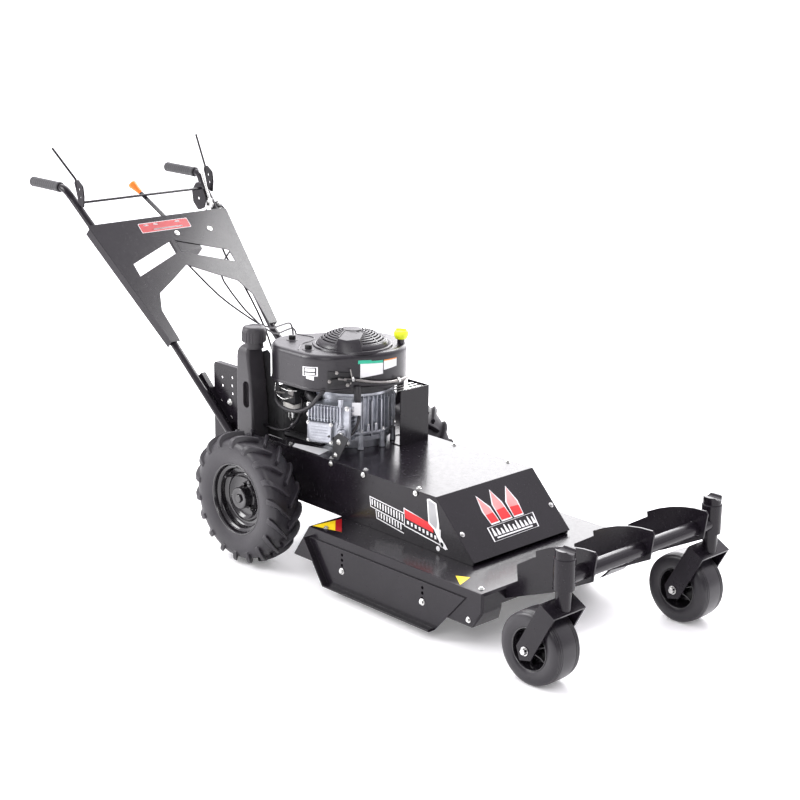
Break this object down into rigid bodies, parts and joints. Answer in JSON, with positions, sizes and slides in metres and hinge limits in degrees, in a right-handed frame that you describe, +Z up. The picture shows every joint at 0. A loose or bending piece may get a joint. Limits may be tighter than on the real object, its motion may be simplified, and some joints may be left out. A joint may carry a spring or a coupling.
{
  "type": "brush mower",
  "caption": "Walk-behind brush mower: belt-driven blade under a plate deck, vertical-shaft engine, lug wheels behind, swivel casters in front, two-tube handle with control levers.",
  "frame": {"origin": "on the ground under the middle of the machine's box", "axes": "+X forwards towards the front casters, +Y to the machine's left as the operator sees it, +Z up"},
  "size_m": [2.517, 0.7788, 1.1566],
  "materials": {
    "frame_paint": "gloss black powder coat",
    "rim_paint": "gloss black paint",
    "engine_plastic": "moulded satin black",
    "tank_plastic": "moulded matt black",
    "caster_plastic": "moulded satin black",
    "tyre_rubber": "black lug tyre",
    "caster_rubber": "smooth black rubber",
    "grip_rubber": "dark grey foam rubber",
    "cord_rubber": "black sheath",
    "engine_aluminium": "as-cast",
    "drive_casting": "as-cast",
    "bare_steel": "bare or aluminised steel",
    "zinc_steel": "bright zinc plate",
    "knob_orange": "orange",
    "cap_yellow": "yellow"
  },
  "bodies": {
    "chassis": {"belt_cover": "frame_paint", "blade_belt": "cord_rubber", "blade_cable": "cord_rubber", "blower_housing": "engine_plastic", "breather_tube": "zinc_steel", "carburetor": "engine_aluminium", "crankcase": "engine_aluminium", "cylinder_head": "engine_aluminium", "deck_shell": "frame_paint", "drive_cable": "cord_rubber", "finger_guard": "engine_plastic", "frame_side_left": "frame_paint", "frame_side_right": "frame_paint", "front_arm_centre": "frame_paint", "front_arm_left": "frame_paint", "front_arm_right": "frame_paint", "front_beam": "frame_paint", "fuel_hose": "cord_rubber", "fuel_tank": "tank_plastic", "grip_left": "grip_rubber", "grip_right": "grip_rubber", "handle_bracket_left": "frame_paint", "handle_bracket_right": "frame_paint", "handle_panel": "frame_paint", "handle_tube_left": "frame_paint", "handle_tube_right": "frame_paint", "muffler": "bare_steel", "muffler_guard": "frame_paint", "oil_filler_tube": "engine_plastic", "skid_shoe_left": "frame_paint", "skid_shoe_right": "frame_paint", "spindle_housing": "drive_casting", "swivel_tube_left": "frame_paint", "swivel_tube_right": "frame_paint", "throttle_cable": "cord_rubber", "transaxle": "drive_casting"},
    "wheel_left": {"rear_tyre_left": "tyre_rubber", "rear_rim_left": "rim_paint"},
    "wheel_right": {"rear_tyre_right": "tyre_rubber", "rear_rim_right": "rim_paint"},
    "caster_left": {"caster_fork_left": "frame_paint"},
    "caster_right": {"caster_fork_right": "frame_paint"},
    "caster_wheel_left": {"caster_tyre_left": "caster_rubber", "caster_rim_left": "caster_plastic"},
    "caster_wheel_right": {"caster_tyre_right": "caster_rubber", "caster_rim_right": "caster_plastic"},
    "blade_rotor": {"blade_spindle": "bare_steel", "blade": "bare_steel"},
    "crank_rotor": {"crankshaft": "bare_steel", "flywheel_fan": "engine_plastic"},
    "blade_control": {"blade_lever": "frame_paint"},
    "drive_control": {"drive_lever": "frame_paint"},
    "drive_rod": {"drive_link": "zinc_steel"},
    "belt_idler": {"idler_arm": "zinc_steel"},
    "gear_lever": {"shift_lever": "frame_paint", "shift_knob": "knob_orange"},
    "tank_cap": {"fuel_cap": "tank_plastic"},
    "dipstick": {"oil_cap": "cap_yellow"},
    "cleaner_knob_1": {"air_cleaner_knob_1": "engine_plastic"},
    "cleaner_knob_2": {"air_cleaner_knob_2": "engine_plastic"}
  },
  "joints": [
    {"name": "wheel_left_spin", "type": "hinge", "parent": "chassis", "child": "wheel_left", "pos_m": [-0.0405, 0.329, 0.2065], "axis": [0, 1, 0], "continuous": true},
    {"name": "wheel_right_spin", "type": "hinge", "parent": "chassis", "child": "wheel_right", "pos_m": [-0.0405, -0.329, 0.2065], "axis": [0, 1, 0], "continuous": true},
    {"name": "caster_left_swivel", "type": "hinge", "parent": "chassis", "child": "caster_left", "pos_m": [1.2155, 0.31, 0.2337], "axis": [0, 0, 1], "continuous": true},
    {"name": "caster_right_swivel", "type": "hinge", "parent": "chassis", "child": "caster_right", "pos_m": [1.2155, -0.31, 0.2337], "axis": [0, 0, 1], "continuous": true},
    {"name": "caster_wheel_left_spin", "type": "hinge", "parent": "caster_left", "child": "caster_wheel_left", "pos_m": [1.1445, 0.31, 0.1016], "axis": [0, 1, 0], "continuous": true},
    {"name": "caster_wheel_right_spin", "type": "hinge", "parent": "caster_right", "child": "caster_wheel_right", "pos_m": [1.1445, -0.31, 0.1016], "axis": [0, 1, 0], "continuous": true},
    {"name": "blade_spin", "type": "hinge", "parent": "chassis", "child": "blade_rotor", "pos_m": [0.5995, 0, 0.098], "axis": [0, 0, 1], "continuous": true},
    {"name": "crank_spin", "type": "hinge", "parent": "chassis", "child": "crank_rotor", "pos_m": [0.0695, 0, 0.285], "axis": [0, 0, 1], "continuous": true},
    {"name": "blade_lever_squeeze", "type": "hinge", "parent": "chassis", "child": "blade_control", "pos_m": [-0.9905, -0.27, 0.981], "axis": [0, 1, 0], "range_deg": [-28, 0], "stiffness_Nm_per_rad": 2.5, "springref_deg": 14.32},
    {"name": "drive_lever_squeeze", "type": "hinge", "parent": "chassis", "child": "drive_control", "pos_m": [-0.9905, 0.27, 0.981], "axis": [0, 1, 0], "range_deg": [-28, 0], "stiffness_Nm_per_rad": 2.5, "springref_deg": 14.32},
    {"name": "drive_link_tilt", "type": "hinge", "parent": "drive_control", "child": "drive_rod", "pos_m": [-0.9935, 0.2385, 1.043], "axis": [0, 1, 0], "range_deg": [0, 20]},
    {"name": "idler_swing", "type": "hinge", "parent": "chassis", "child": "belt_idler", "pos_m": [0.2895, 0.15, 0.2715], "axis": [0, 0, 1], "range_deg": [-8.6, 0]},
    {"name": "gear_lever_swing", "type": "hinge", "parent": "chassis", "child": "gear_lever", "pos_m": [-0.8834, 0.072, 0.8452], "axis": [0.682, 0, 0.7314], "range_deg": [-12, 5]},
    {"name": "fuel_cap_turn", "type": "hinge", "parent": "chassis", "child": "tank_cap", "pos_m": [-0.1515, -0.209, 0.646], "axis": [0, 0, 1], "range_deg": [0, 270]},
    {"name": "dipstick_pull", "type": "slide", "parent": "chassis", "child": "dipstick", "axis": [0, 0, 1], "range_m": [0, 0.08]},
    {"name": "cleaner_knob_1_turn", "type": "hinge", "parent": "chassis", "child": "cleaner_knob_1", "pos_m": [-0.0925, -0.105, 0.655], "axis": [0, 0, 1], "range_deg": [0, 270]},
    {"name": "cleaner_knob_2_turn", "type": "hinge", "parent": "chassis", "child": "cleaner_knob_2", "pos_m": [0.0315, -0.146, 0.655], "axis": [0, 0, 1], "range_deg": [0, 270]}
  ],
  "couplings": [
    {"joint": "crank_spin", "follows": "blade_spin", "ratio": 1.2},
    {"joint": "idler_swing", "follows": "blade_lever_squeeze", "ratio": 0.3},
    {"joint": "drive_link_tilt", "follows": "drive_lever_squeeze", "ratio": -0.7}
  ]
}
